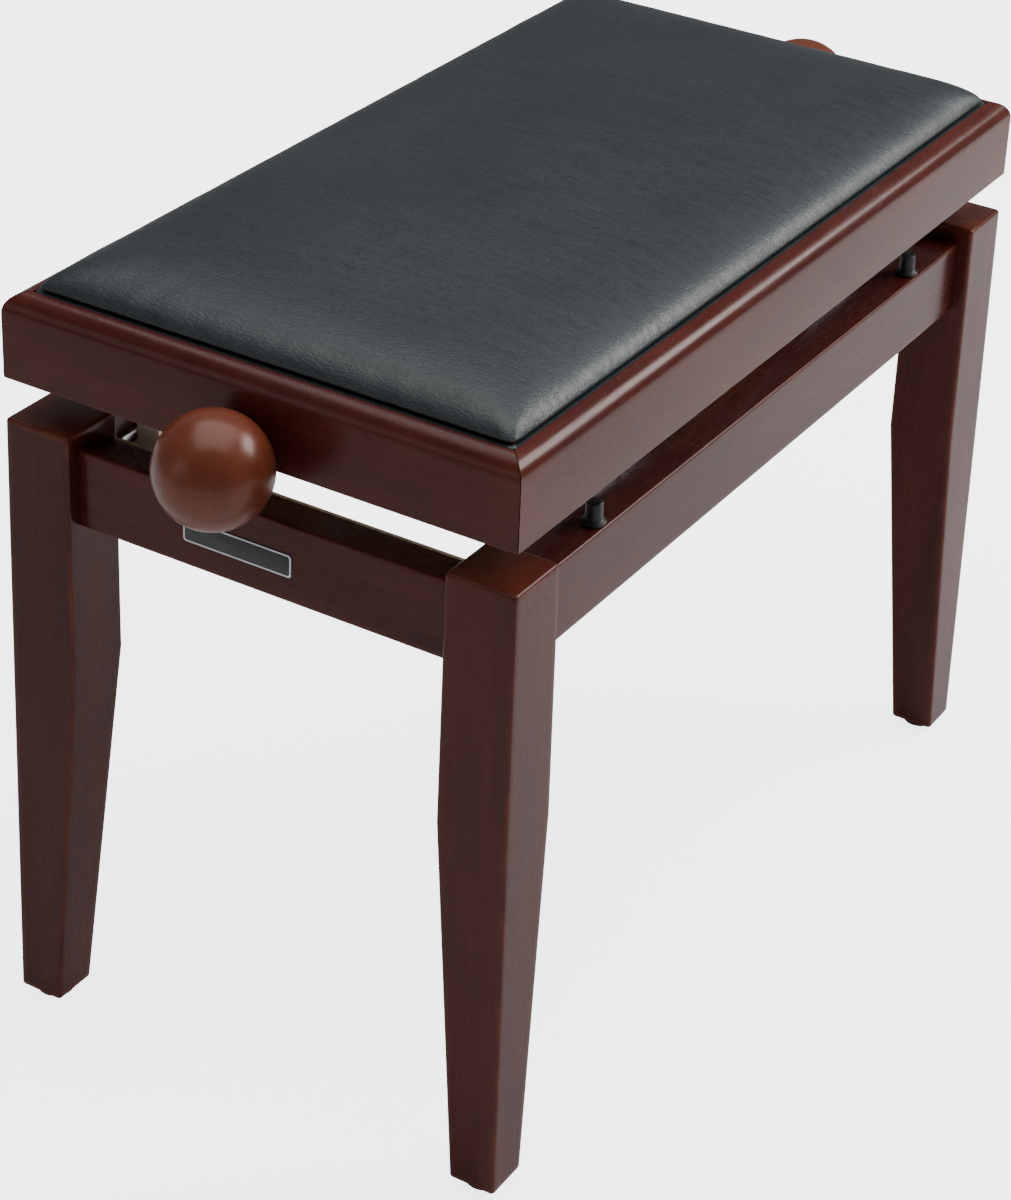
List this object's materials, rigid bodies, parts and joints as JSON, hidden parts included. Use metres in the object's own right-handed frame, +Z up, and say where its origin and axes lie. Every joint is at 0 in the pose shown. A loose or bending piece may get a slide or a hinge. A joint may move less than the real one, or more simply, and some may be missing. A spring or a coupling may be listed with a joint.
{
  "type": "piano bench",
  "caption": "Height-adjustable piano bench: padded seat in a mitred wooden frame, lifted by steel scissors and a ball-knob spindle on a base of tapered legs.",
  "frame": {"origin": "on the floor, under the middle of the seat, at the height the bench is shown at", "axes": "+X along the seat to the right, +Y across the seat to the back, +Z up"},
  "size_m": [0.668, 0.312, 0.4573],
  "materials": {
    "mahogany_wood": "red-brown mahogany stain under satin lacquer",
    "knob_wood": "lighter orange-brown stain under satin lacquer, turned",
    "plywood": "raw plywood",
    "leatherette": "dark slate grained leatherette, soft sheen",
    "black_rubber": "matt black rubber",
    "bright_zinc": "bright zinc plate on drawn steel",
    "yellow_zinc": "yellow passivated zinc plate"
  },
  "bodies": {
    "base": {"apron_back": "mahogany_wood", "apron_front": "mahogany_wood", "apron_left": "mahogany_wood", "apron_right": "mahogany_wood", "bumper_back_left": "black_rubber", "bumper_back_right": "black_rubber", "bumper_front_left": "black_rubber", "bumper_front_right": "black_rubber", "glide_back_left": "black_rubber", "glide_back_right": "black_rubber", "glide_front_left": "black_rubber", "glide_front_right": "black_rubber", "leg_back_left": "mahogany_wood", "leg_back_right": "mahogany_wood", "leg_front_left": "mahogany_wood", "leg_front_right": "mahogany_wood", "lower_end_plate_left": "yellow_zinc", "lower_end_plate_right": "yellow_zinc", "lower_pin_back_left": "bright_zinc", "lower_pin_back_right": "bright_zinc", "lower_pin_front_left": "bright_zinc", "lower_pin_front_right": "bright_zinc", "lower_rail_back": "bright_zinc", "lower_rail_front": "bright_zinc"},
    "seat": {"bearing_plate_left": "bright_zinc", "bearing_plate_right": "bright_zinc", "cushion": "leatherette", "cushion_board": "plywood", "seat_rail_back": "mahogany_wood", "seat_rail_front": "mahogany_wood", "seat_rail_left": "mahogany_wood", "seat_rail_right": "mahogany_wood", "upper_pin_back_left": "bright_zinc", "upper_pin_back_right": "bright_zinc", "upper_pin_front_left": "bright_zinc", "upper_pin_front_right": "bright_zinc", "upper_rail_back": "bright_zinc", "upper_rail_front": "bright_zinc"},
    "spindle": {"spindle_rod": "bright_zinc", "knob_left": "knob_wood", "knob_right": "knob_wood", "collar_left": "bright_zinc", "collar_right": "bright_zinc"},
    "nut_left": {"trunnion_nut_left": "bright_zinc"},
    "nut_right": {"trunnion_nut_right": "bright_zinc"},
    "outer_arms_left": {"outer_arm_front_left": "bright_zinc", "outer_arm_back_left": "bright_zinc", "centre_rod_left": "bright_zinc"},
    "inner_arms_left": {"inner_arm_front_left": "bright_zinc", "inner_arm_back_left": "bright_zinc", "slider_rod_left": "bright_zinc"},
    "outer_arms_right": {"outer_arm_front_right": "bright_zinc", "outer_arm_back_right": "bright_zinc", "centre_rod_right": "bright_zinc"},
    "inner_arms_right": {"inner_arm_front_right": "bright_zinc", "inner_arm_back_right": "bright_zinc", "slider_rod_right": "bright_zinc"}
  },
  "joints": [
    {"name": "seat_lift", "type": "slide", "parent": "base", "child": "seat", "axis": [0, 0, 1], "range_m": [-0.0195, 0.06]},
    {"name": "spindle_turn", "type": "hinge", "parent": "seat", "child": "spindle", "pos_m": [0, 0, 0.396], "axis": [1, 0, 0], "range_deg": [-1171, 3601]},
    {"name": "nut_left_slide", "type": "slide", "parent": "seat", "child": "nut_left", "axis": [-1, 0, 0], "range_m": [-0.0098, 0.0301]},
    {"name": "nut_right_slide", "type": "slide", "parent": "seat", "child": "nut_right", "axis": [1, 0, 0], "range_m": [-0.0098, 0.0301]},
    {"name": "outer_arms_left_swing", "type": "hinge", "parent": "base", "child": "outer_arms_left", "pos_m": [-0.212, 0, 0.326], "axis": [0, -1, 0], "range_deg": [-6.3, 19.3]},
    {"name": "outer_arms_right_swing", "type": "hinge", "parent": "base", "child": "outer_arms_right", "pos_m": [0.212, 0, 0.326], "axis": [0, 1, 0], "range_deg": [-6.3, 19.3]},
    {"name": "inner_arms_left_swing", "type": "hinge", "parent": "seat", "child": "inner_arms_left", "pos_m": [-0.212, 0, 0.396], "axis": [0, 1, 0], "range_deg": [-6.3, 19.3]},
    {"name": "inner_arms_right_swing", "type": "hinge", "parent": "seat", "child": "inner_arms_right", "pos_m": [0.212, 0, 0.396], "axis": [0, -1, 0], "range_deg": [-6.3, 19.3]}
  ],
  "couplings": [
    {"joint": "spindle_turn", "follows": "seat_lift", "rad_per_m": 1047.2},
    {"joint": "nut_left_slide", "follows": "seat_lift", "ratio": 0.5},
    {"joint": "nut_right_slide", "follows": "seat_lift", "ratio": 0.5},
    {"joint": "outer_arms_left_swing", "follows": "seat_lift", "rad_per_m": 5.6},
    {"joint": "outer_arms_right_swing", "follows": "seat_lift", "rad_per_m": 5.6},
    {"joint": "inner_arms_left_swing", "follows": "seat_lift", "rad_per_m": 5.6},
    {"joint": "inner_arms_right_swing", "follows": "seat_lift", "rad_per_m": 5.6}
  ]
}
